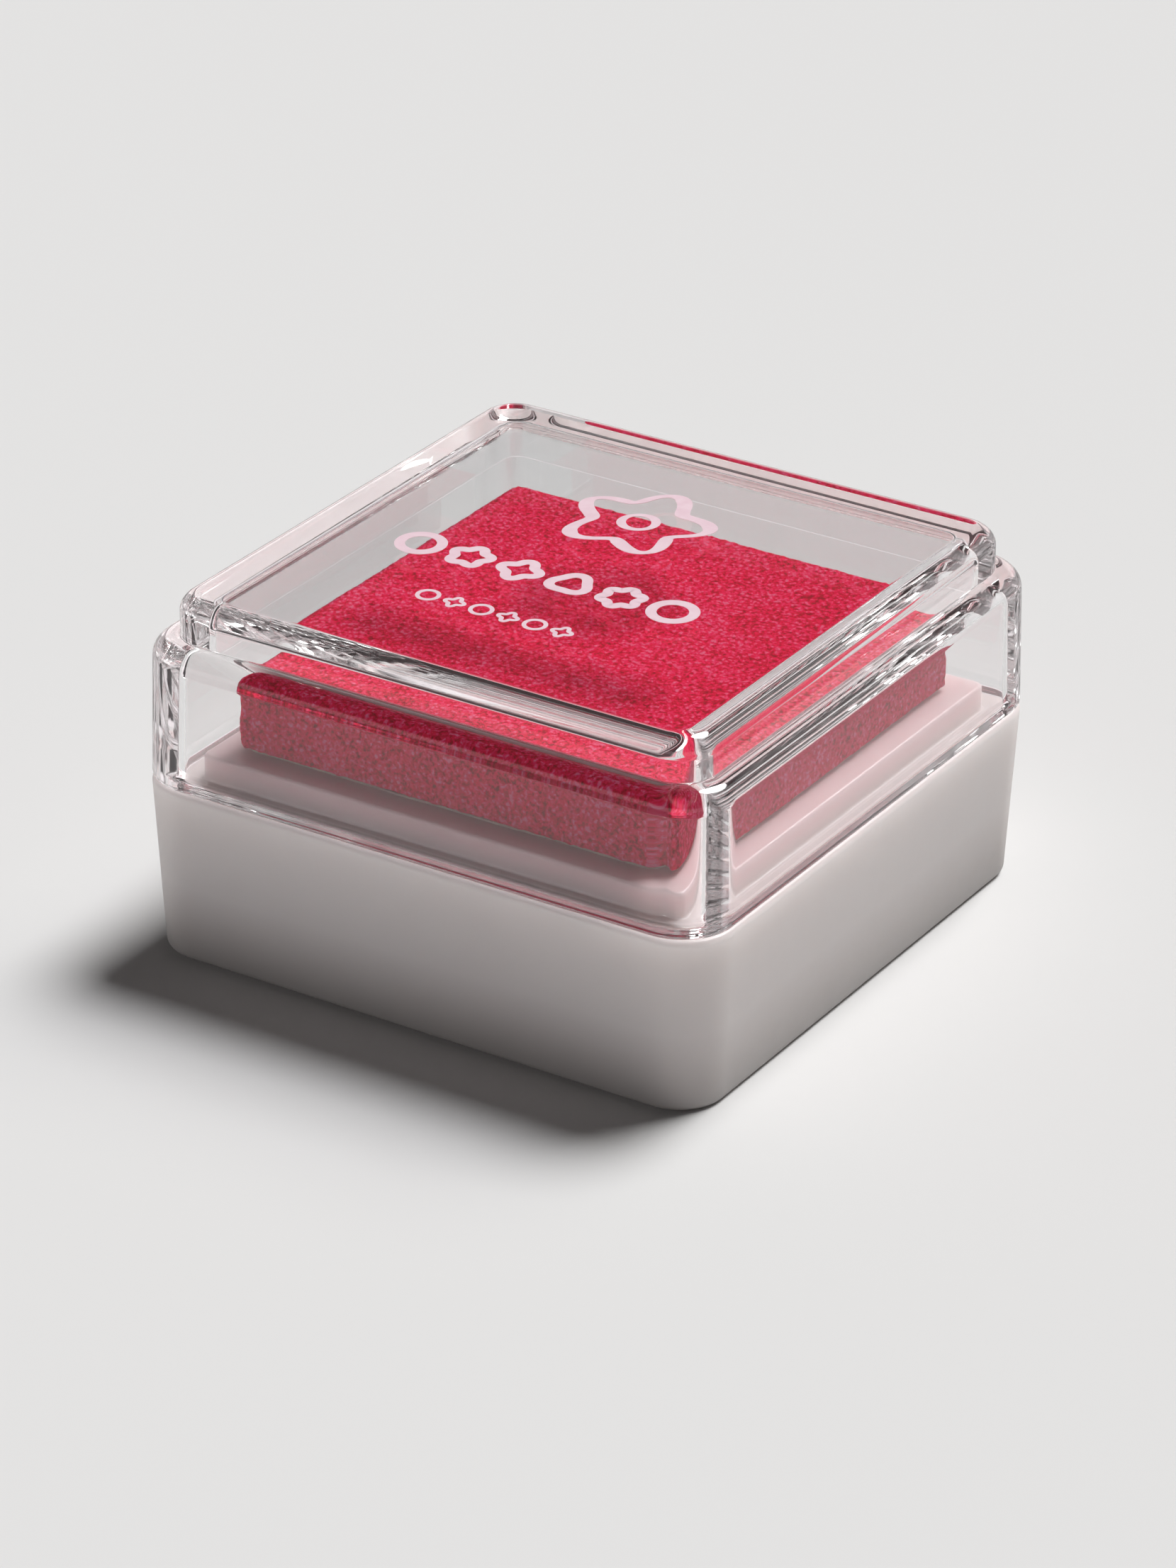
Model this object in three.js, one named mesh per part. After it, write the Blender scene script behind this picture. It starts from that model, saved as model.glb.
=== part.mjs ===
// A mini ink pad: a hollow white base with a raised step, a square of inked foam glued on the
// step, and a clear two-tier lid that lifts straight off. The lid's upper tier is sized to nest
// in the hollow of another pad's base, so that pads stack.
//
// Millimetres, +Z up. The origin is at the middle of the foot, on the surface the pad stands on.
// Every moulded piece is a rounded square in plan at any height, so each is a loft of such rings.
import * as THREE from "three";

// ---- driving dimensions ----------------------------------------------------------------------

// base
const baseWidth = 34; // across the flats, just under the lid
const wallDraft = 0.5; // each side, from the ledge down to the foot
const seamHeight = 9.75; // the ledge the lid stands on
const baseCornerRadius = 3;
const footCornerRadius = 2.6;
const footRound = 0.4; // rounding of the foot's outer edge
const ledgeRound = 0.1; // rounding of the ledge's outer edge
const deckThickness = 1.3; // the ledge and the top of the step
const cavityDraft = 0.15; // each side, from the foot up to the deck

// step that carries the foam
const stepHeight = 1.4; // above the ledge
const stepCornerRadius = 0.5;
const stepRound = 0.2;
const stepWall = 1.3;

// lid
const lidSetback = 0.02; // the lid's outside is this far inside the base's
const lidWall = 2;
const lidFit = 1.03; // free gap between the lid's inside and the step, each side
const lidHeight = 10.05; // from the seam to the top
const lidCornerRadius = 3;
const lidInnerCornerRadius = 1;
const lidDraft = 0.15; // each side, from the mouth up to the shoulder
const topThickness = 1.6;
const topRound = 1;

// lid's upper tier
const tierInset = 1.43; // the shoulder's width on each side
const tierWall = 1.8;
const tierHeight = 2.3;
const tierCornerRadius = 2;
const tierInnerCornerRadius = 0.9;
const shoulderThickness = 1.55;
const shoulderRound = 1.08;
const nestFit = 0.1; // free gap round the upper tier inside another pad's foot, each side

// foam pad and the film that holds it
const foamMargin = 1.25; // the step shows this far round the foam
const foamThickness = 3.95;
const filmThickness = 0.15;
const filmInset = 0.2; // the film stops this far inside the foam's edge

// fineness of the arcs
const cornerSteps = 6; // per quarter turn in plan
const roundSteps = 4; // per quarter turn of an edge rounding

// ---- derived sizes ---------------------------------------------------------------------------

const baseHalf = baseWidth / 2;
const footHalf = baseHalf - wallDraft;
const lidHalf = baseHalf - lidSetback;
const lidInnerHalf = lidHalf - lidWall;
const stepHalf = lidInnerHalf - lidFit;
const stepTop = seamHeight + stepHeight;
const tierHalf = lidHalf - tierInset;
const tierInnerHalf = tierHalf - tierWall;
const cavityHalf = tierHalf + nestFit;
const lidTop = seamHeight + lidHeight;
const shoulderZ = lidTop - tierHeight;
const foamWidth = 2 * (stepHalf - foamMargin);
const foamBottom = stepTop + filmThickness;

// ---- rounded squares and lofts ---------------------------------------------------------------

// One level of a loft: a square of half-width half, with its corners rounded to radius.
function level(half, radius, z) {
  return { half, radius: Math.min(radius, half), z };
}

// The level's outline, anticlockwise seen from above, always with the same number of points.
function outline({ half, radius }) {
  const middle = half - radius;
  const points = [];
  for (let corner = 0; corner < 4; corner++) {
    const sx = corner === 0 || corner === 3 ? 1 : -1;
    const sy = corner < 2 ? 1 : -1;
    for (let i = 0; i <= cornerSteps; i++) {
      const angle = (corner + i / cornerSteps) * (Math.PI / 2);
      points.push(
        new THREE.Vector2(
          sx * middle + radius * Math.cos(angle),
          sy * middle + radius * Math.sin(angle),
        ),
      );
    }
  }
  return points;
}

// The levels of a quarter-round edge between a flat top and a side. From the inside of the flat
// outwards and down for an upper edge, or from the side down and inwards for a lower one.
function upperEdge(half, radius, z, round) {
  const levels = [];
  for (let i = 0; i <= roundSteps; i++) {
    const angle = ((i / roundSteps) * Math.PI) / 2;
    const inwards = round * (1 - Math.sin(angle));
    const down = round * (1 - Math.cos(angle));
    levels.push(level(half - inwards, radius - inwards, z - down));
  }
  return levels;
}

function lowerEdge(half, radius, z, round) {
  return upperEdge(half, radius, 0, round)
    .reverse()
    .map((edge) => level(edge.half, edge.radius, z - edge.z));
}

// A closed body through the levels, in order: a flat cap on the first, a wall from each level to
// the next, and a flat cap on the last. The levels run from the top's middle, over the outside,
// round the rim and up the inside.
function loft(levels) {
  const rings = levels.map(outline);
  const count = rings[0].length;
  const positions = [];
  rings.forEach((ring, i) =>
    ring.forEach((p) => positions.push(p.x, p.y, levels[i].z)),
  );
  const faces = [];
  for (let ring = 0; ring + 1 < rings.length; ring++) {
    for (let i = 0; i < count; i++) {
      const a = ring * count + i;
      const b = ring * count + ((i + 1) % count);
      faces.push(a, a + count, b, b, a + count, b + count);
    }
  }
  const lastRing = (rings.length - 1) * count;
  for (let i = 1; i + 1 < count; i++) {
    faces.push(0, i, i + 1);
    faces.push(lastRing, lastRing + i + 1, lastRing + i);
  }
  const geometry = new THREE.BufferGeometry();
  geometry.setAttribute(
    "position",
    new THREE.Float32BufferAttribute(positions, 3),
  );
  geometry.setIndex(faces);
  geometry.computeVertexNormals();
  return geometry;
}

// ---- pieces ----------------------------------------------------------------------------------

function piece(name, geometry, finish, z = 0) {
  const mesh = new THREE.Mesh(
    geometry,
    new THREE.MeshStandardMaterial({ metalness: 0, ...finish }),
  );
  mesh.name = name;
  mesh.position.z = z;
  return mesh;
}

// One moulding: the step, the ledge, the drafted walls, and the hollow underside.
function baseShell() {
  const deckUnderside = seamHeight - deckThickness;
  const cavityRadius = footCornerRadius - (footHalf - cavityHalf);
  const cavityTopHalf = cavityHalf - cavityDraft;
  const stepCoreHalf = stepHalf - stepWall;
  const stepCoreTop = stepTop - deckThickness;
  return loft([
    ...upperEdge(stepHalf, stepCornerRadius, stepTop, stepRound),
    level(stepHalf, stepCornerRadius, seamHeight),
    ...upperEdge(baseHalf, baseCornerRadius, seamHeight, ledgeRound),
    ...lowerEdge(footHalf, footCornerRadius, 0, footRound),
    level(cavityHalf, cavityRadius, 0),
    level(cavityTopHalf, cavityRadius, deckUnderside),
    level(stepCoreHalf, stepCornerRadius, deckUnderside),
    level(stepCoreHalf, stepCornerRadius, stepCoreTop),
  ]);
}

// One clear moulding: a lower tier that covers the step and the foam, a rounded shoulder, and a
// smaller upper tier with a flat top.
function lidShell() {
  const shoulderHalf = lidHalf - lidDraft;
  const shoulderUnderside = shoulderZ - shoulderThickness;
  const ceiling = lidTop - topThickness;
  return loft([
    ...upperEdge(tierHalf, tierCornerRadius, lidTop, topRound),
    level(tierHalf, tierCornerRadius, shoulderZ),
    ...upperEdge(shoulderHalf, lidCornerRadius, shoulderZ, shoulderRound),
    level(lidHalf, lidCornerRadius, seamHeight),
    level(lidInnerHalf, lidInnerCornerRadius, seamHeight),
    level(lidInnerHalf - lidDraft, lidInnerCornerRadius, shoulderUnderside),
    level(tierInnerHalf, tierInnerCornerRadius, shoulderUnderside),
    level(tierInnerHalf, tierInnerCornerRadius, ceiling),
  ]);
}

function foamPad() {
  return new THREE.BoxGeometry(foamWidth, foamWidth, foamThickness);
}

function glueFilm() {
  const width = foamWidth - 2 * filmInset;
  return new THREE.BoxGeometry(width, width, filmThickness);
}

const inkPad = new THREE.Group();
inkPad.add(
  piece("base_shell", baseShell(), { color: 0xd9d6d4, roughness: 0.38 }),
  piece(
    "glue_film",
    glueFilm(),
    { color: 0xd8d2c4, roughness: 0.5 },
    stepTop + filmThickness / 2,
  ),
  piece(
    "foam_pad",
    foamPad(),
    { color: 0xc41e4a, roughness: 0.95 },
    foamBottom + foamThickness / 2,
  ),
  piece("lid", lidShell(), {
    color: 0xf4f5f8,
    roughness: 0.05,
    transparent: true,
    opacity: 0.3,
  }),
);

export default inkPad;
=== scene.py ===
import math
import bpy
import numpy as np
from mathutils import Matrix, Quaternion, Vector


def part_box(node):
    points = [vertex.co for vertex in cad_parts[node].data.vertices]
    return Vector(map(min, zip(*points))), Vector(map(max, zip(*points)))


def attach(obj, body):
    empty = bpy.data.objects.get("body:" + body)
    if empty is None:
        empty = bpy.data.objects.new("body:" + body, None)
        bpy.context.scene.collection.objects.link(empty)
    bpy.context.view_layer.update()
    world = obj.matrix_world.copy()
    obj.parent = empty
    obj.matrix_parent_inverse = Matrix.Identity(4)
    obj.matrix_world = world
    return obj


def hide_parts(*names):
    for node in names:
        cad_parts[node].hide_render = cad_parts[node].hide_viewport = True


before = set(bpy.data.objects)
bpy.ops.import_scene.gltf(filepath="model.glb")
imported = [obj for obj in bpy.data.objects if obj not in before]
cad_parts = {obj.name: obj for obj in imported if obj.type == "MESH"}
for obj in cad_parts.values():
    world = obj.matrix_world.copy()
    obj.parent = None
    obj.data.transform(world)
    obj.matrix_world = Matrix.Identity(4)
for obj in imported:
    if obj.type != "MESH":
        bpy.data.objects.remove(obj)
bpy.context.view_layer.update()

mm = 0.001
baseLow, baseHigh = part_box("base_shell")
lidLow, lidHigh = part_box("lid")
foamLow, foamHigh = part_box("foam_pad")
filmLow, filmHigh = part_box("glue_film")
seam = lidLow.z  # the ledge, where the lid stands
capSetIn = 2 * mm  # the outermost ring on a large flat stands this far inside the edge
print("stage: frame loaded")


# The camera stands in front of the corner between the front (-Y) and right (+X) faces. Light runs
# along inside the clear walls before it comes out, so it may bounce many times.
view = {
    "place": Vector((0.14403, -0.22932, 0.14441)),
    "azimuth": 32.17,
    "elevation": 26.91,
    "roll": 0.4,
    "lens": 135.07,  # mm
    "sensor": 36,  # mm, along the picture's long side
    "nearest": 0.01,
    "farthest": 10,
    "bounces": 28,
    "clearBounces": 24,
    "glossBounces": 20,
}


def makeCamera():
    data = bpy.data.cameras.new("camera")
    data.lens = view["lens"]
    data.sensor_width = view["sensor"]
    data.clip_start = view["nearest"]
    data.clip_end = view["farthest"]
    made = bpy.data.objects.new("camera", data)
    bpy.context.scene.collection.objects.link(made)
    turn, rise = math.radians(view["azimuth"]), math.radians(view["elevation"])
    flat = math.cos(rise)
    back = Vector((math.sin(turn) * flat, -math.cos(turn) * flat, math.sin(rise)))
    roll = Quaternion((0, 0, 1), math.radians(view["roll"]))
    made.rotation_mode = "QUATERNION"
    made.location = view["place"]
    made.rotation_quaternion = (-back).to_track_quat("-Z", "Y") @ roll
    bpy.context.scene.camera = made
    bpy.context.scene.view_settings.view_transform = "Standard"
    paths = bpy.context.scene.cycles
    paths.max_bounces = view["bounces"]
    paths.transmission_bounces = view["clearBounces"]
    paths.glossy_bounces = view["glossBounces"]


makeCamera()
print("stage: camera placed")


# Turns whole arrays of points and faces into a mesh object.
def meshObject(name, points, *faceArrays, smooth=True):
    faces = []
    for array in faceArrays:
        faces += array.tolist()
    mesh = bpy.data.meshes.new(name)
    mesh.from_pydata(points.reshape(-1, 3).tolist(), [], faces)
    mesh.polygons.foreach_set("use_smooth", np.full(len(faces), smooth))
    mesh.update()
    made = bpy.data.objects.new(name, mesh)
    bpy.context.scene.collection.objects.link(made)
    return made


# Quads between the rows of a grid of points. Columns wrap round, and rows too where it is a loop.
def gridQuads(rows, columns, loop=False):
    row = np.arange(rows if loop else rows - 1)[:, None]
    column = np.arange(columns)[None, :]
    nextRow, nextColumn = (row + 1) % rows, (column + 1) % columns
    corners = (row * columns + column, nextRow * columns + column,
               nextRow * columns + nextColumn, row * columns + nextColumn)
    return np.stack(np.broadcast_arrays(*corners), -1).reshape(-1, 4)


# One ring of a rounded square for each level (half-width, corner radius, height). Each quarter
# circle turns round a centre half - radius from both middle lines, and one more point stands just
# past each end of it, so that the flats between the corners shade flat.
def squareRings(levels, arcSteps=16, guard=0.04 * mm):
    half, radius, height = (levels[:, i, None, None] for i in range(3))
    turn = np.concatenate(([0], np.linspace(0, math.pi / 2, arcSteps + 1), [math.pi / 2]))
    along = np.concatenate(([-guard], np.zeros(arcSteps + 1), [guard]))
    corner = np.arange(4)[None, :, None]
    angle = turn + corner * math.pi / 2
    sideX = np.where((corner == 0) | (corner == 3), 1, -1)
    sideY = np.where(corner < 2, 1, -1)
    x = sideX * (half - radius) + radius * np.cos(angle) - along * np.sin(angle)
    y = sideY * (half - radius) + radius * np.sin(angle) + along * np.cos(angle)
    rings = np.stack(np.broadcast_arrays(x, y, height), -1)
    return rings.reshape(len(levels), -1, 3)


# A profile with rounded corners. Each corner is (half-width, corner radius, height, rounding), and
# its arc is the rational quadratic curve, with weight sin(half the angle between the legs), that
# leaves and meets the two legs at rounding / tan(half the angle), which is an exact circle. An arc
# takes up no more than the longest share of a leg, and one more level stands just outside each end
# of it, so that the flats between arcs shade flat.
def roundedProfile(corners, steps=8, guard=0.03 * mm, longest=0.9):
    corners = np.asarray(corners, float)
    levels = [corners[0, :3]]
    for before, here, after in zip(corners, corners[1:], corners[2:]):
        toBefore, toAfter = before[:3] - here[:3], after[:3] - here[:3]
        lengthBefore = math.hypot(toBefore[0], toBefore[2])
        lengthAfter = math.hypot(toAfter[0], toAfter[2])
        legBefore, legAfter = toBefore / lengthBefore, toAfter / lengthAfter
        cosine = legBefore[0] * legAfter[0] + legBefore[2] * legAfter[2]
        halfAngle = math.acos(max(-1, min(1, cosine))) / 2
        reach = min(here[3] / math.tan(halfAngle), longest * lengthBefore, longest * lengthAfter)
        t = np.linspace(0, 1, steps + 1)[:, None]
        weights = ((1 - t) ** 2, 2 * t * (1 - t) * math.sin(halfAngle), t ** 2)
        offset = (weights[0] * legBefore + weights[2] * legAfter) * reach / sum(weights)
        levels.append(here[:3] + legBefore * (reach + guard))
        levels += list(here[:3] + offset)
        levels.append(here[:3] + legAfter * (reach + guard))
    levels.append(corners[-1, :3])
    return np.array(levels)


# A closed body through a profile that runs from the middle of the top, over the outside, round the
# rim and up the inside. Both ends shrink ring by ring to a pole, each ring at a share of the last
# half-width and radius, so that the flats are closed.
def squareBody(name, corners, steps=8, arcSteps=16):
    levels = roundedProfile(corners, steps)
    shares = np.array([0.15, 0.35, 0.55, 0.75, 0.92])[:, None]
    start = levels[:1] * np.hstack((shares, shares, np.ones_like(shares)))
    end = levels[-1:] * np.hstack((shares[::-1], shares[::-1], np.ones_like(shares)))
    levels = np.vstack((start, levels, end))
    rings = squareRings(levels, arcSteps)
    rows, columns = rings.shape[:2]
    poles = np.array([[0, 0, levels[0, 2]], [0, 0, levels[-1, 2]]])
    points = np.vstack((rings.reshape(-1, 3), poles))
    first = np.arange(columns)
    second = (first + 1) % columns
    topPole, endPole = np.full(columns, rows * columns), np.full(columns, rows * columns + 1)
    topFan = np.stack((topPole, first, second), -1)
    lastRow = (rows - 1) * columns
    endFan = np.stack((endPole, lastRow + second, lastRow + first), -1)
    return meshObject(name, points, gridQuads(rows, columns), topFan, endFan)


# Smooth random values in space: each point takes the random numbers at the eight corners of its
# lattice cube, weighted by the smooth step 3 t^2 - 2 t^3 of its place between them on each axis.
def latticeNoise(points, cell, seed, size=64):
    table = np.random.default_rng(seed).uniform(-1, 1, (size, size, size))
    place = points / cell
    low = np.floor(place).astype(int)
    t = place - low
    t = t * t * (3 - 2 * t)
    total = np.zeros(len(points))
    for corner in np.ndindex(2, 2, 2):
        share = np.prod(np.where(corner, t, 1 - t), axis=1)
        total += share * table[tuple(((low + corner) % size).T)]
    return total


# A material with a Principled shader, and short ways to add and join its nodes.
class Finish:
    def __init__(self, name):
        self.material = bpy.data.materials.new(name)
        self.material.use_nodes = True
        self.tree = self.material.node_tree
        self.shader = self.tree.nodes["Principled BSDF"]
        self.output = self.tree.nodes["Material Output"]
        self.places = self.add("ShaderNodeTexCoord").outputs["Object"]

    def add(self, kind, **settings):
        node = self.tree.nodes.new(kind)
        for key, value in settings.items():
            setattr(node, key, value)
        return node

    def join(self, source, target):
        self.tree.links.new(source, target)

    # Joins a result to one of the shader's own sockets.
    def feed(self, name, source):
        self.join(source, self.shader.inputs[name])

    # Sets values that are the same all over on the shader's own sockets.
    def put(self, **values):
        for key, value in values.items():
            self.shader.inputs[key.replace("_", " ")].default_value = value

    def noise(self, scale, detail=2, roughness=0.5, distortion=0):
        node = self.add("ShaderNodeTexNoise")
        node.inputs["Scale"].default_value = scale
        node.inputs["Detail"].default_value = detail
        node.inputs["Roughness"].default_value = roughness
        node.inputs["Distortion"].default_value = distortion
        self.join(self.places, node.inputs["Vector"])
        return node.outputs["Fac"]

    # The distance to the nearest of many scattered points.
    def cells(self, scale):
        node = self.add("ShaderNodeTexVoronoi")
        node.inputs["Scale"].default_value = scale
        self.join(self.places, node.inputs["Vector"])
        return node.outputs["Distance"]

    def ramp(self, source, stops):
        node = self.add("ShaderNodeValToRGB")
        elements = node.color_ramp.elements
        while len(elements) < len(stops):
            elements.new(0.5)
        for element, (place, colour) in zip(elements, stops):
            element.position = place
            element.color = (*colour, 1)
        self.join(source, node.inputs["Fac"])
        return node.outputs["Color"]

    # Spreads the range a noise mostly keeps to, or another given range, from low to high.
    def spread(self, source, low, high, fromLow=0.3, fromHigh=0.7):
        node = self.add("ShaderNodeMapRange")
        node.inputs["From Min"].default_value = fromLow
        node.inputs["From Max"].default_value = fromHigh
        node.inputs["To Min"].default_value = low
        node.inputs["To Max"].default_value = high
        self.join(source, node.inputs["Value"])
        return node.outputs["Result"]

    # The first value and a share of the second.
    def sum(self, first, second, share):
        node = self.add("ShaderNodeMath", operation="MULTIPLY_ADD")
        self.join(second, node.inputs[0])
        node.inputs[1].default_value = share
        self.join(first, node.inputs[2])
        return node.outputs[0]

    def larger(self, first, second):
        node = self.add("ShaderNodeMath", operation="MAXIMUM")
        self.join(first, node.inputs[0])
        self.join(second, node.inputs[1])
        return node.outputs[0]

    # Mixes two colours, each a socket or a plain colour, by a socket or a number.
    def tint(self, first, second, factor, blend="MIX"):
        node = self.add("ShaderNodeMix", data_type="RGBA", blend_type=blend)
        sockets = (node.inputs[0], node.inputs[6], node.inputs[7])  # factor and both colours
        for value, socket in zip((factor, first, second), sockets):
            if isinstance(value, bpy.types.NodeSocket):
                self.join(value, socket)
            else:
                socket.default_value = value if isinstance(value, float) else (*value, 1)
        return node.outputs[2]

    def relief(self, height, depth, strength):
        node = self.add("ShaderNodeBump")
        node.inputs["Strength"].default_value = strength
        node.inputs["Distance"].default_value = depth
        self.join(height, node.inputs["Height"])
        self.feed("Normal", node.outputs["Normal"])


def finishWith(piece, finish):
    piece.data.materials.clear()
    piece.data.materials.append(finish.material)


# The base: one white moulding with a drafted wall, a ledge for the lid, the step that carries the
# foam, and a hollow underside that the lid of the pad below nests in.
base = {
    "half": baseHigh.x,
    "wallDraft": 0.5 * mm,
    "cornerRadius": 3 * mm,
    "footCornerRadius": 2.6 * mm,
    "footRound": 0.45 * mm,
    "footInnerRound": 0.12 * mm,
    "ledgeRound": 0.32 * mm,
    "deck": 1.3 * mm,
    "deckRound": 0.4 * mm,
    "cavityHalf": 15.65 * mm,
    "cavityCornerRadius": 1.75 * mm,
    "cavityDraft": 0.15 * mm,
    "stepHalf": 13.95 * mm,
    "stepTop": baseHigh.z,
    "stepCornerRadius": 0.5 * mm,
    "stepRound": 0.18 * mm,
    "stepFootRound": 0.15 * mm,
    "stepWall": 1.3 * mm,
    "coreMouthRound": 0.2 * mm,  # the core is the hollow inside the step
    "coreTopRound": 0.3 * mm,
    "coreCapRadius": 0.25 * mm,
    # The foot, wall and seam colours are painted shade and light: darker towards the foot, lighter
    # towards the seam.
    "footShadeColour": (0.43, 0.405, 0.39),
    "wallColour": (0.79, 0.72, 0.70),
    "wallColourAt": 0.45,  # share of the way from the foot to the seam
    "seamLightColour": (0.93, 0.825, 0.80),
    # The step's pink is partly its own pink and partly painted red light bounced off the foam.
    "stepStainAndBounceColour": (0.96, 0.65, 0.655),
    "stepColourFrom": -0.3 * mm,  # above the seam
    "stepColourTo": 0.9 * mm,
    "flowColour": (0.955, 0.95, 0.95),
    "flowScale": 75,
    "roughness": (0.32, 0.46),
    "roughnessScale": 900,
    "ior": 1.5,
    "glow": 4.5 * mm,
    "glowShare": 0.7,
    "glowColour": (1.0, 0.92, 0.88),
    "waveScale": 240,
    "grainScale": 5200,
    "grainShare": 0.12,
    "grainDepth": 0.03 * mm,
    "grainStrength": 0.35,
}


# Pale plastic that light soaks into. Its colour is painted shade and light: darker towards the
# foot and lighter towards the seam, where less and more light falls on the wall. On the step it is
# pinker, partly its own pink and partly painted red light bounced off the foam.
def makeWhitePlastic():
    made = Finish("whitePlastic")
    parts = made.add("ShaderNodeSeparateXYZ")
    made.join(made.places, parts.inputs[0])
    up = parts.outputs["Z"]
    # Painted shade and light up the wall: darkest at the foot, lightest at the seam.
    upWall = made.spread(up, 0, 1, baseLow.z, seam)
    wall = made.ramp(upWall, [
        (0.0, base["footShadeColour"]),
        (base["wallColourAt"], base["wallColour"]),
        (1.0, base["seamLightColour"]),
    ])
    # The pink tint on the step: partly its own pink, partly painted red light bounced off the
    # foam.
    onStep = made.spread(up, 0, 1, seam + base["stepColourFrom"], seam + base["stepColourTo"])
    warmed = made.tint(wall, base["stepStainAndBounceColour"], onStep)
    flow = made.noise(base["flowScale"], detail=3, roughness=0.55)
    flowTint = made.ramp(flow, [(0.3, (1, 1, 1)), (0.7, base["flowColour"])])
    made.feed("Base Color", made.tint(warmed, flowTint, 1.0, "MULTIPLY"))
    scuffs = made.noise(base["roughnessScale"], detail=4)
    made.feed("Roughness", made.spread(scuffs, *base["roughness"]))
    made.put(IOR=base["ior"], Subsurface_Weight=base["glowShare"],
             Subsurface_Scale=base["glow"], Subsurface_Radius=base["glowColour"])
    waves = made.noise(base["waveScale"], detail=2)
    grain = made.noise(base["grainScale"], detail=2)
    height = made.sum(waves, grain, base["grainShare"])
    made.relief(height, base["grainDepth"], base["grainStrength"])
    return made


def makeBase():
    footHalf = base["half"] - base["wallDraft"]
    deckUnder, coreTop = seam - base["deck"], base["stepTop"] - base["deck"]
    cavityTop = base["cavityHalf"] - base["cavityDraft"]
    coreHalf = base["stepHalf"] - base["stepWall"]
    stepRadius, cavityRadius = base["stepCornerRadius"], base["cavityCornerRadius"]
    corners = [
        (base["stepHalf"] - capSetIn, stepRadius, base["stepTop"], 0),
        (base["stepHalf"], stepRadius, base["stepTop"], base["stepRound"]),
        (base["stepHalf"], stepRadius, seam, base["stepFootRound"]),
        (base["half"], base["cornerRadius"], seam, base["ledgeRound"]),
        (footHalf, base["footCornerRadius"], baseLow.z, base["footRound"]),
        (base["cavityHalf"], cavityRadius, baseLow.z, base["footInnerRound"]),
        (cavityTop, cavityRadius, deckUnder, base["deckRound"]),
        (coreHalf, stepRadius, deckUnder, base["coreMouthRound"]),
        (coreHalf, stepRadius, coreTop, base["coreTopRound"]),
        (coreHalf - capSetIn, base["coreCapRadius"], coreTop, 0),
    ]
    made = squareBody("base_moulding", corners)
    finishWith(made, makeWhitePlastic())
    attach(made, "base")
    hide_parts("base_shell")


makeBase()
print("stage: base made")


# The film of glue under the foam, with an edge that wanders a little, as a roller leaves it.
film = {
    "half": filmHigh.x - 0.15 * mm,
    "gap": 0.005 * mm,  # to the step and to the foam
    "cornerRadius": 0.6 * mm,
    "edgeRound": 0.05 * mm,
    "flatFrom": 1 * mm,  # in from the edge
    "cuts": 3,
    "wander": 0.12 * mm,
    "wanderSize": 1.3 * mm,
    "wanderWidth": 0.9 * mm,  # in from the edge
    "seed": 21,
    "colour": (0.74, 0.68, 0.58),
    "inkedColour": (0.62, 0.42, 0.40),
    "blotchScale": 700,
    "roughness": (0.25, 0.6),
    "roughnessScale": 2500,
    "lumpScale": 1800,
    "lumpDepth": 0.04 * mm,
    "lumpStrength": 0.5,
}


def makeGlue():
    made = Finish("glue")
    blotches = made.noise(film["blotchScale"], detail=3)
    colour = made.ramp(blotches, [(0.35, film["colour"]), (0.7, film["inkedColour"])])
    made.feed("Base Color", colour)
    gloss = made.noise(film["roughnessScale"])
    made.feed("Roughness", made.spread(gloss, *film["roughness"]))
    lumps = made.noise(film["lumpScale"], detail=3)
    made.relief(lumps, film["lumpDepth"], film["lumpStrength"])
    return made


def applyModifiers(piece):
    evaluated = piece.evaluated_get(bpy.context.evaluated_depsgraph_get())
    finished = bpy.data.meshes.new_from_object(evaluated)
    piece.modifiers.clear()
    piece.data = finished


# A flat body, cut fine. Every point near its edge is scaled in plan by one plus the lattice noise
# of its place in plan, as a share of the half-width, so that the edge wanders.
def makeFilm():
    low, high = filmLow.z + film["gap"], filmHigh.z - film["gap"]
    half, radius, edge = film["half"], film["cornerRadius"], film["edgeRound"]
    corners = [
        (half - film["flatFrom"], radius, high, 0),
        (half, radius, high, edge),
        (half, radius, low, edge),
        (half - film["flatFrom"], radius, low, 0),
    ]
    made = squareBody("glue_layer", corners, steps=3, arcSteps=10)
    subdivide = made.modifiers.new("fine", "SUBSURF")
    subdivide.subdivision_type = "SIMPLE"
    subdivide.levels = subdivide.render_levels = film["cuts"]
    applyModifiers(made)
    points = np.zeros(len(made.data.vertices) * 3)
    made.data.vertices.foreach_get("co", points)
    points = points.reshape(-1, 3)
    fromMiddle = np.maximum(np.abs(points[:, 0]), np.abs(points[:, 1]))
    nearEdge = fromMiddle > half - film["wanderWidth"]
    wander = latticeNoise(points * (1, 1, 0), film["wanderSize"], film["seed"]) * film["wander"]
    points[:, :2] *= (1 + np.where(nearEdge, wander, 0) / half)[:, None]
    made.data.vertices.foreach_set("co", points.ravel())
    made.data.update()
    finishWith(made, makeGlue())
    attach(made, "base")
    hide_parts("glue_film")


makeFilm()
print("stage: glue film made")


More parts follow.
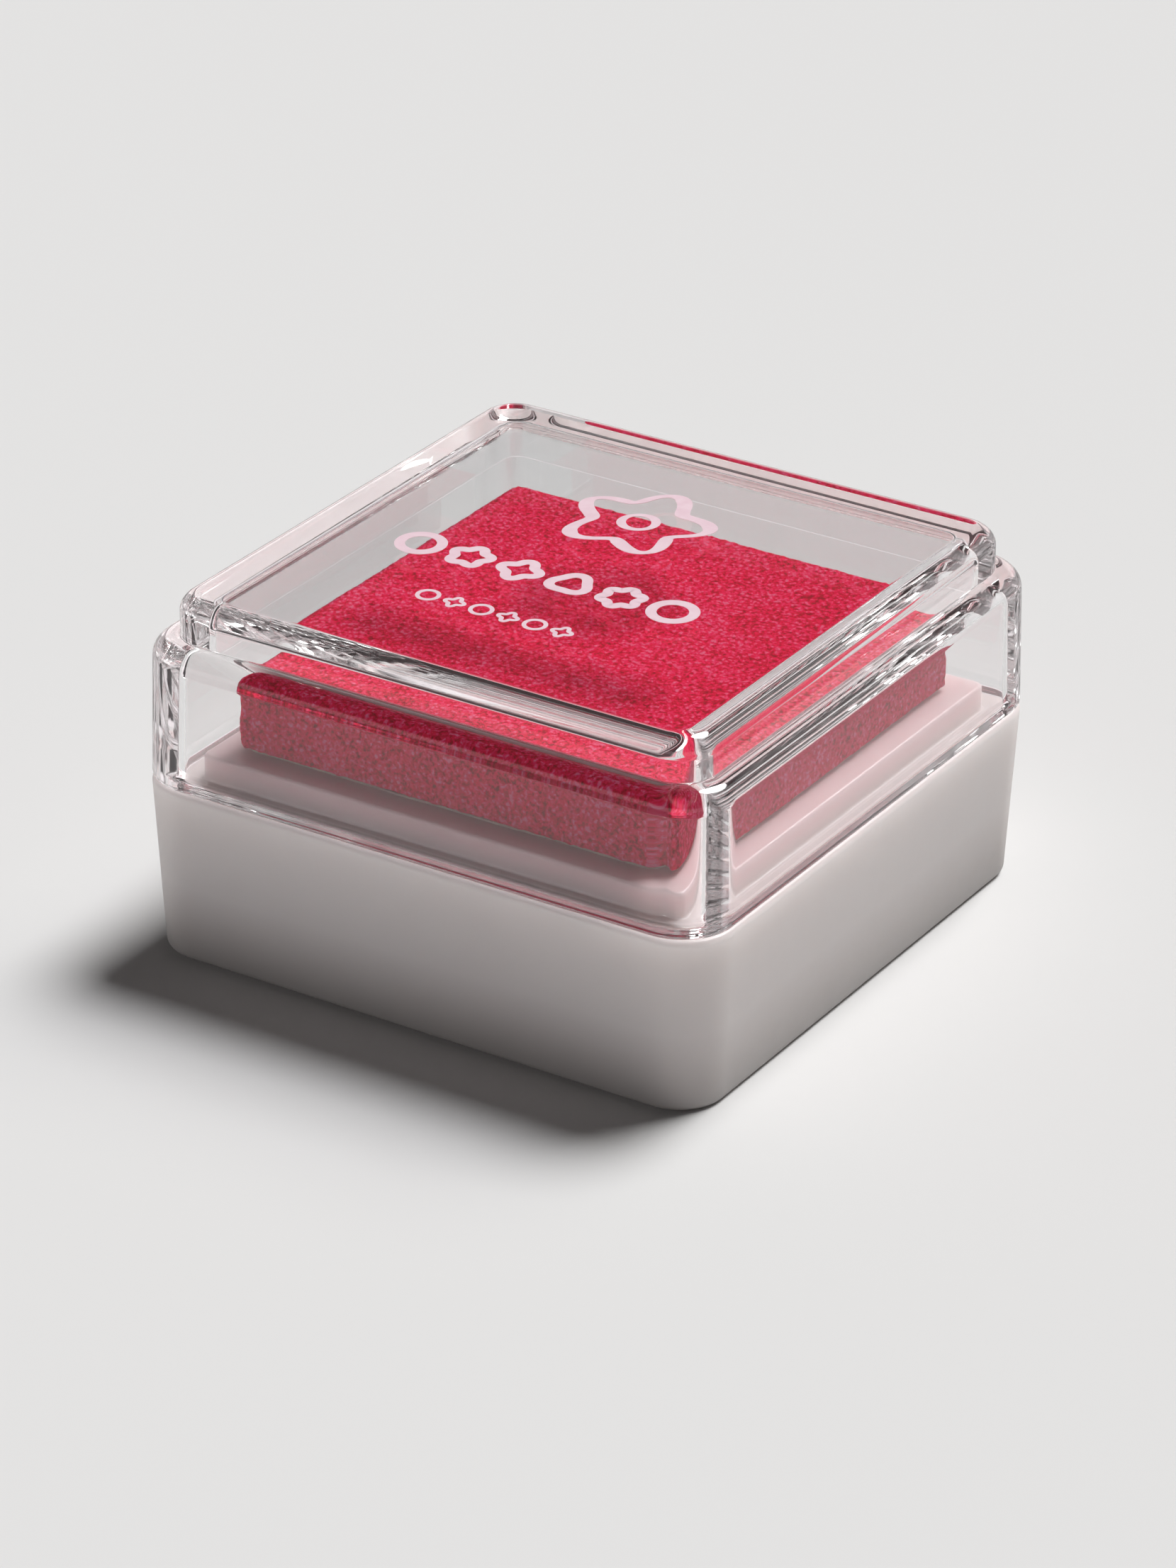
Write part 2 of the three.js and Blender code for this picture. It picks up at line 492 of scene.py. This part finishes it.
# The foam: a block cut with a knife from a sheet, soaked with ink. Its faces are pitted by open
# cells, its cut edges are ragged, and its top is a little uneven.
foam = {
    "half": foamHigh.x,
    "low": foamLow.z,
    "high": foamHigh.z,
    "shift": 0.15 * mm,  # the far side is cut short by twice this
    "edgeRound": 0.07 * mm,
    "cornerRound": 0.5 * mm,
    "across": 150,
    "up": 22,
    "seed": 7,
    "cell": 0.17 * mm,
    "clumpCells": 2.6,
    "tornCells": 1.7,
    "swellSize": 4.5 * mm,
    "cellShare": 0.6,
    "clumpShare": 0.6,
    "pitSink": 0.9,  # the sinks keep nearly all of the noise inside the block
    "pitDepth": 0.05 * mm,
    "swellSink": 1,
    "swell": 0.03 * mm,
    "tornSink": 0.6,
    "edgeRagged": 0.09 * mm,
    "edgeLean": 0.3,  # an edge is where the line outwards leans this far two ways or more
    "grainScale": 4700,
    "pitScale": 3600,
    "patchScale": 430,
    "patchShare": 0.24,
    "pitShare": -0.26,
    "colours": [
        (0.31, (0.34, 0.000, 0.010)),
        (0.39, (0.68, 0.000, 0.026)),
        (0.48, (1.00, 0.001, 0.065)),
        (0.56, (1.00, 0.030, 0.135)),
        (0.65, (1.00, 0.170, 0.300)),
    ],
    "cutTint": (0.64, 0.75, 0.80),
    "cutFrom": 0.4 * mm,  # in from the side
    "cutTo": 0.16 * mm,
    "roughness": (0.6, 0.95),
    "gloss": 0.12,
    "glow": 0.5 * mm,
    "glowShare": 0.12,
    "glowColour": (1.0, 0.15, 0.2),
    "reliefPits": -0.6,
    "reliefDepth": 0.09 * mm,
    "reliefStrength": 0.75,
}


# The surface of a block as a lattice: every lattice point whose column, row or layer is at an end.
# The points are numbered once each, so that neighbouring faces share them and the block is closed.
def blockLattice(across, up):
    counts = (across, across, up)
    numbers = -np.ones([c + 1 for c in counts], int)
    i, j, k = np.meshgrid(*[np.arange(c + 1) for c in counts], indexing="ij")
    shell = (i == 0) | (i == across) | (j == 0) | (j == across) | (k == 0) | (k == up)
    numbers[shell] = np.arange(shell.sum())
    places = np.stack((i[shell] / across, j[shell] / across, k[shell] / up), -1)
    quads = []
    for axis in range(3):
        for end in (0, counts[axis]):
            side = np.take(numbers, end, axis=axis)
            faces = np.stack((side[:-1, :-1], side[1:, :-1], side[1:, 1:], side[:-1, 1:]), -1)
            faces = faces.reshape(-1, 4)
            outward = (end > 0) != (axis == 1)
            quads.append(faces if outward else faces[:, ::-1])
    return places, np.vstack(quads)


# How near a point is to a cut side: the larger of |x| and |y|, measured from the block's middle,
# against the foam's half-width.
def nearCut(made):
    middle = made.add("ShaderNodeVectorMath", operation="ADD")
    made.join(made.places, middle.inputs[0])
    middle.inputs[1].default_value = (0, foam["shift"], 0)
    size = made.add("ShaderNodeVectorMath", operation="ABSOLUTE")
    made.join(middle.outputs[0], size.inputs[0])
    parts = made.add("ShaderNodeSeparateXYZ")
    made.join(size.outputs[0], parts.inputs[0])
    largest = made.larger(parts.outputs["X"], parts.outputs["Y"])
    return made.spread(largest, 0, 1, foam["half"] - foam["cutFrom"], foam["half"] - foam["cutTo"])


# Grains of ink, darkened in the open cells, in patches that hold more and less of it.
def makeInkedFoam():
    made = Finish("inkedFoam")
    grains = made.noise(foam["grainScale"], detail=5, roughness=0.65, distortion=0.5)
    pits = made.cells(foam["pitScale"])
    patches = made.noise(foam["patchScale"], detail=3, roughness=0.6)
    mixed = made.sum(made.sum(grains, patches, foam["patchShare"]), pits, foam["pitShare"])
    soaked = made.ramp(mixed, foam["colours"])
    made.feed("Base Color", made.tint(soaked, foam["cutTint"], nearCut(made), "MULTIPLY"))
    made.feed("Roughness", made.spread(grains, *foam["roughness"]))
    made.put(Specular_IOR_Level=foam["gloss"], Subsurface_Weight=foam["glowShare"],
             Subsurface_Scale=foam["glow"], Subsurface_Radius=foam["glowColour"])
    height = made.sum(grains, pits, foam["reliefPits"])
    made.relief(height, foam["reliefDepth"], foam["reliefStrength"])
    return made


# Each lattice point goes out to a box with rounded edges and corners, along the line from the
# nearest point of the box's core. Noise then moves it along that line: fine noise and clumps for
# the cells, broad noise for the unevenness of the faces, and torn noise where faces meet.
def makeFoam():
    places, quads = blockLattice(foam["across"], foam["up"])
    halfHeight = (foam["high"] - foam["low"]) / 2
    size = np.array([foam["half"], foam["half"] - foam["shift"], halfHeight])
    middle = np.array([0, -foam["shift"], (foam["high"] + foam["low"]) / 2])
    points = (places * 2 - 1) * size
    rounding = np.array([foam["cornerRound"], foam["cornerRound"], foam["edgeRound"]])
    core = np.clip(points, rounding - size, size - rounding)
    away = (points - core) / rounding
    normal = away / np.linalg.norm(away, axis=1, keepdims=True)
    points = core + normal * rounding
    edges = (np.abs(normal) > foam["edgeLean"]).sum(1) > 1
    cells = latticeNoise(points, foam["cell"], foam["seed"])
    clumps = latticeNoise(points, foam["cell"] * foam["clumpCells"], foam["seed"] + 1)
    swells = latticeNoise(points, foam["swellSize"], foam["seed"] + 2)
    torn = latticeNoise(points, foam["cell"] * foam["tornCells"], foam["seed"] + 3)
    pitted = cells * foam["cellShare"] + clumps * foam["clumpShare"] - foam["pitSink"]
    push = pitted * foam["pitDepth"] + (swells - foam["swellSink"]) * foam["swell"]
    push += np.where(edges, torn - foam["tornSink"], 0) * foam["edgeRagged"]
    points = np.clip(points + normal * push[:, None], -size, size) + middle
    made = meshObject("foam_block", points, quads)
    finishWith(made, makeInkedFoam())
    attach(made, "base")
    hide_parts("foam_pad")


makeFoam()
print("stage: foam made")


# The lid: one clear moulding of two tiers, with round outer edges and small radii inside.
lid = {
    "topGap": 0.02 * mm,  # room above the top for the print
    "seat": 0.02 * mm,
    "half": 16.98 * mm,
    "wall": 2.0 * mm,
    "cornerRadius": 3 * mm,
    "innerCornerRadius": 1.0 * mm,
    "draft": 0.15 * mm,
    "topThickness": 1.6 * mm,
    "topRound": 1.0 * mm,
    "topCapRadius": 0.5 * mm,
    "tierInset": 1.43 * mm,
    "tierWall": 1.8 * mm,
    "tierHeight": 2.3 * mm,
    "tierCornerRadius": 2 * mm,
    "tierInnerCornerRadius": 0.9 * mm,
    "tierFootRound": 0.06 * mm,
    "shoulderThickness": 1.55 * mm,
    "shoulderRound": 1.08 * mm,
    "rimOuterRound": 0.32 * mm,
    "rimInnerRound": 0.4 * mm,
    "ceilingRound": 0.12 * mm,
    "ceilingCapRadius": 0.36 * mm,
    "underRound": 0.3 * mm,
    "ior": 1.59,
    "clearness": 0.997,  # the rest scatters, which lights the thick corners and rims
    "hazeScale": 160,
    "hazeColours": [(0.3, (0.985, 0.985, 0.985)), (0.7, (0.975, 0.977, 0.982))],
    "roughness": (0.0, 0.03),
    "roughnessScale": 2600,
    "waveScale": 120,
    "waveDepth": 0.004 * mm,
    "waveStrength": 0.1,
    "shadeColour": (0.95, 0.95, 0.955),  # what light through the lid is dimmed to
}


# Clear plastic that bends what is seen through it. Shadow and diffuse rays go straight through, so
# that the foam and the step under it are lit.
def makeClearPlastic():
    made = Finish("clearPlastic")
    made.put(IOR=lid["ior"], Transmission_Weight=lid["clearness"])
    haze = made.noise(lid["hazeScale"], detail=3)
    made.feed("Base Color", made.ramp(haze, lid["hazeColours"]))
    handling = made.noise(lid["roughnessScale"], detail=3)
    made.feed("Roughness", made.spread(handling, *lid["roughness"]))
    made.relief(made.noise(lid["waveScale"], detail=1), lid["waveDepth"], lid["waveStrength"])
    rays = made.add("ShaderNodeLightPath")
    through = made.larger(rays.outputs["Is Shadow Ray"], rays.outputs["Is Diffuse Ray"])
    clear = made.add("ShaderNodeBsdfTransparent")
    clear.inputs["Color"].default_value = (*lid["shadeColour"], 1)
    mix = made.add("ShaderNodeMixShader")
    made.join(through, mix.inputs[0])
    made.join(made.shader.outputs[0], mix.inputs[1])
    made.join(clear.outputs[0], mix.inputs[2])
    made.join(mix.outputs[0], made.output.inputs["Surface"])
    return made


def makeLid():
    top, bottom = lidHigh.z - lid["topGap"], lidLow.z + lid["seat"]
    tierHalf = lid["half"] - lid["tierInset"]
    tierInner = tierHalf - lid["tierWall"]
    shoulder = lidHigh.z - lid["tierHeight"]
    shoulderUnder = shoulder - lid["shoulderThickness"]
    ceiling = lidHigh.z - lid["topThickness"]
    inner = lid["half"] - lid["wall"]
    outerRadius, innerRadius = lid["cornerRadius"], lid["innerCornerRadius"]
    tierRadius, tierInnerRadius = lid["tierCornerRadius"], lid["tierInnerCornerRadius"]
    corners = [
        (tierHalf - capSetIn, lid["topCapRadius"], top, 0),
        (tierHalf, tierRadius, top, lid["topRound"]),
        (tierHalf, tierRadius, shoulder, lid["tierFootRound"]),
        (lid["half"] - lid["draft"], outerRadius, shoulder, lid["shoulderRound"]),
        (lid["half"], outerRadius, bottom, lid["rimOuterRound"]),
        (inner, innerRadius, bottom, lid["rimInnerRound"]),
        (inner - lid["draft"], innerRadius, shoulderUnder, lid["underRound"]),
        (tierInner, tierInnerRadius, shoulderUnder, lid["underRound"]),
        (tierInner, tierInnerRadius, ceiling, lid["ceilingRound"]),
        (tierInner - capSetIn, lid["ceilingCapRadius"], ceiling, 0),
    ]
    made = squareBody("clear_lid", corners, steps=10, arcSteps=20)
    finishWith(made, makeClearPlastic())
    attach(made, "lid")
    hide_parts("lid")


makeLid()
print("stage: lid made")


# The print on the lid: a flower over a row of rosettes, with a line of small marks below. Every
# mark is a stroke of ink, a flat ribbon carried along its path. A shape is its petals and their
# depth, as a share of the size.
printed = {
    "low": lidHigh.z - 0.015 * mm,
    "high": lidHigh.z - 0.003 * mm,
    "flowerMiddle": (-0.4 * mm, 5.0 * mm),
    "flowerSize": 3.75 * mm,
    "flowerShape": (5, 0.17),
    "flowerStroke": (0.36 * mm, 0.82 * mm),
    "eyeSize": 0.9 * mm,
    "eyeShape": (0, 0),
    "eyeStroke": (0.3 * mm, 0.5 * mm),
    "nibAngle": 40,
    "rowBase": -4.6 * mm,
    "rowHeight": 2.75 * mm,
    "rowStart": -9.7 * mm,
    "rowEnd": 8.1 * mm,
    "rowStroke": 0.56 * mm,
    "rowShapes": [(0, 0), (5, 0.13), (4, 0.16), (3, 0.12), (6, 0.11), (0, 0)],
    "markMiddle": -8.2 * mm,
    "markStart": -5.2 * mm,
    "markEnd": 4.0 * mm,
    "markSize": 1.5 * mm,
    "markFill": 0.86,
    "markStroke": 0.23 * mm,
    "markShapes": [(0, 0), (4, 0.2)] * 3,
    "colour": (0.86, 0.62, 0.70),
    "thinColour": (0.90, 0.70, 0.77),
    "coverScale": 2400,
    "roughness": (0.35, 0.6),
    "inkDepth": 0.01 * mm,
    "inkStrength": 0.3,
}


# The way a closed path runs at each of its points, from the point before to the point after.
def pathWay(path):
    return np.roll(path, -1, 0) - np.roll(path, 1, 0)


# A ribbon round a closed path: at each path point the four corners of the ribbon's section stand
# half the width to either side, along the path's normal, at the ink's lower and upper heights.
def closedRibbon(path, width):
    width = np.broadcast_to(width, len(path))[:, None]
    ahead = pathWay(path)
    ahead /= np.linalg.norm(ahead, axis=1, keepdims=True)
    side = np.stack((ahead[:, 1], -ahead[:, 0]), -1) * width / 2
    low = np.full((len(path), 1), printed["low"])
    high = np.full((len(path), 1), printed["high"])
    section = [np.hstack((path + side, low)), np.hstack((path + side, high)),
               np.hstack((path - side, high)), np.hstack((path - side, low))]
    points = np.stack(section, 1)
    return points.reshape(-1, 3), gridQuads(len(path), len(section), loop=True)[:, ::-1]


# A rosette: the radius goes in and out as a cosine, petals times round the middle.
def rosette(middle, size, shape, count=120):
    petals, depth = shape
    angle = np.linspace(0, 2 * math.pi, count, endpoint=False)
    radius = size * (1 - depth + depth * np.cos(petals * (angle - math.pi / 2)))
    return np.stack((middle[0] + radius * np.cos(angle), middle[1] + radius * np.sin(angle)), -1)


# A broad nib held at an angle: the stroke widens from thin to thick with the squared sine of the
# angle between the path and the nib.
def nibWidth(path, thin, thick):
    ahead = pathWay(path)
    way = np.arctan2(ahead[:, 1], ahead[:, 0])
    return thin + (thick - thin) * np.sin(way - math.radians(printed["nibAngle"])) ** 2


# One mesh of many parts: each part's faces count on from the points of the parts before it.
def joinParts(name, parts):
    points = np.vstack([p for p, _ in parts])
    starts = np.cumsum([0] + [len(p) for p, _ in parts[:-1]])
    quads = np.vstack([q + start for (_, q), start in zip(parts, starts)])
    return meshObject(name, points, quads, smooth=False)


def makePrintInk():
    made = Finish("printInk")
    cover = made.noise(printed["coverScale"], detail=4, roughness=0.6)
    colour = made.ramp(cover, [(0.3, printed["colour"]), (0.75, printed["thinColour"])])
    made.feed("Base Color", colour)
    made.feed("Roughness", made.spread(cover, *printed["roughness"]))
    made.relief(cover, printed["inkDepth"], printed["inkStrength"])
    return made


def makePrint():
    middle = printed["flowerMiddle"]
    flower = rosette(middle, printed["flowerSize"], printed["flowerShape"], count=240)
    eye = rosette(middle, printed["eyeSize"], printed["eyeShape"])
    parts = [
        closedRibbon(flower, nibWidth(flower, *printed["flowerStroke"])),
        closedRibbon(eye, nibWidth(eye, *printed["eyeStroke"])),
    ]
    margin = printed["rowHeight"] / 2
    y, size = printed["rowBase"] + margin, margin - printed["rowStroke"] / 2
    shapes = printed["rowShapes"]
    xs = np.linspace(printed["rowStart"] + margin, printed["rowEnd"] - margin, len(shapes))
    for x, shape in zip(xs, shapes):
        parts.append(closedRibbon(rosette((x, y), size, shape), printed["rowStroke"]))
    margin = (printed["markSize"] - printed["markStroke"]) / 2
    y, size = printed["markMiddle"], margin * printed["markFill"]
    shapes = printed["markShapes"]
    xs = np.linspace(printed["markStart"] + margin, printed["markEnd"] - margin, len(shapes))
    for x, shape in zip(xs, shapes):
        parts.append(closedRibbon(rosette((x, y), size, shape, count=60), printed["markStroke"]))
    made = joinParts("lid_print", parts)
    finishWith(made, makePrintInk())
    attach(made, "lid")


makePrint()
print("stage: print made")


# A pale floor under one broad lamp high at the back right, with a white card standing low at the
# front left. The walls give almost no light, and only show in and through the lid.
studio = {
    "floorReach": 6,
    "floorColour": (0.80, 0.80, 0.80),
    # The floor's colour in reflections: painted shade.
    "mirroredShadeColour": (0.42, 0.42, 0.42),
    "floorRoughness": 0.9,
    "wallColour": (1, 0.93, 0.95),
    "wallLight": 0.012,
    "pale": 1.0,
    "paleUpTo": 0.26,  # the sine of the angle above the floor
    "dim": 0.04,
    "dimFrom": 0.40,
    "keyFrom": (0.30, 0.95, 1.45),
    "keyAngle": 29,
    "keyStrength": 3.55,
    "keyColour": (1, 0.993, 0.985),
    "cardFrom": (-1.20, -0.80, 0.13),
    "cardSize": (1.0, 0.22),
    "cardStrength": 3.7,
}


# The floor is painted darker where something mirrors it: a painted shade in the floor's
# reflections, not in its own look. A sharp ray through the lid counts as glossy too, so the
# transmitted rays are taken off.
def makeFloor():
    signs = np.array([[-1, -1], [1, -1], [1, 1], [-1, 1]])
    corners = np.hstack((signs * studio["floorReach"], np.full((4, 1), baseLow.z)))
    made = meshObject("floor", corners, np.array([[0, 1, 2, 3]]))
    paper = Finish("paleFloor")
    ray = paper.add("ShaderNodeLightPath")
    mirrored = paper.sum(ray.outputs["Is Glossy Ray"], ray.outputs["Is Transmission Ray"], -1)
    seen = paper.tint(studio["floorColour"], studio["mirroredShadeColour"], mirrored)
    paper.feed("Base Color", seen)
    paper.put(Roughness=studio["floorRoughness"], Specular_IOR_Level=0.0)
    finishWith(made, paper)


# Puts a lamp in its place and turns it to the middle of the floor.
def aimed(lamp, source):
    made = bpy.data.objects.new(lamp.name, lamp)
    bpy.context.scene.collection.objects.link(made)
    made.location = source
    made.rotation_mode = "QUATERNION"
    made.rotation_quaternion = (-Vector(source)).to_track_quat("-Z", "Y")


def makeLamps():
    key = bpy.data.lights.new("key", "SUN")
    key.energy = studio["keyStrength"]
    key.angle = math.radians(studio["keyAngle"])
    key.color = studio["keyColour"]
    aimed(key, studio["keyFrom"])
    card = bpy.data.lights.new("card", "AREA")
    card.shape = "RECTANGLE"
    card.size, card.size_y = studio["cardSize"]
    card.energy = studio["cardStrength"] * math.pi * card.size * card.size_y
    aimed(card, studio["cardFrom"])


# The walls are pale near the floor and dim above for light that the lid mirrors or lets through,
# and almost black for light that comes to them from a dull surface.
def makeWalls():
    world = bpy.data.worlds.new("studio")
    world.use_nodes = True
    nodes, links = world.node_tree.nodes, world.node_tree.links
    way = nodes.new("ShaderNodeSeparateXYZ")
    links.new(nodes.new("ShaderNodeTexCoord").outputs["Generated"], way.inputs[0])
    climb = nodes.new("ShaderNodeMapRange")
    climb.interpolation_type = "SMOOTHSTEP"
    climb.inputs["From Min"].default_value = studio["paleUpTo"]
    climb.inputs["From Max"].default_value = studio["dimFrom"]
    climb.inputs["To Min"].default_value = studio["pale"]
    climb.inputs["To Max"].default_value = studio["dim"]
    links.new(way.outputs["Z"], climb.inputs["Value"])
    choice = nodes.new("ShaderNodeMapRange")
    links.new(nodes.new("ShaderNodeLightPath").outputs["Is Diffuse Ray"], choice.inputs["Value"])
    links.new(climb.outputs["Result"], choice.inputs["To Min"])
    choice.inputs["To Max"].default_value = studio["wallLight"]
    links.new(choice.outputs["Result"], nodes["Background"].inputs["Strength"])
    nodes["Background"].inputs["Color"].default_value = (*studio["wallColour"], 1)
    bpy.context.scene.world = world


makeFloor()
makeLamps()
makeWalls()
print("stage: floor and lamps made")
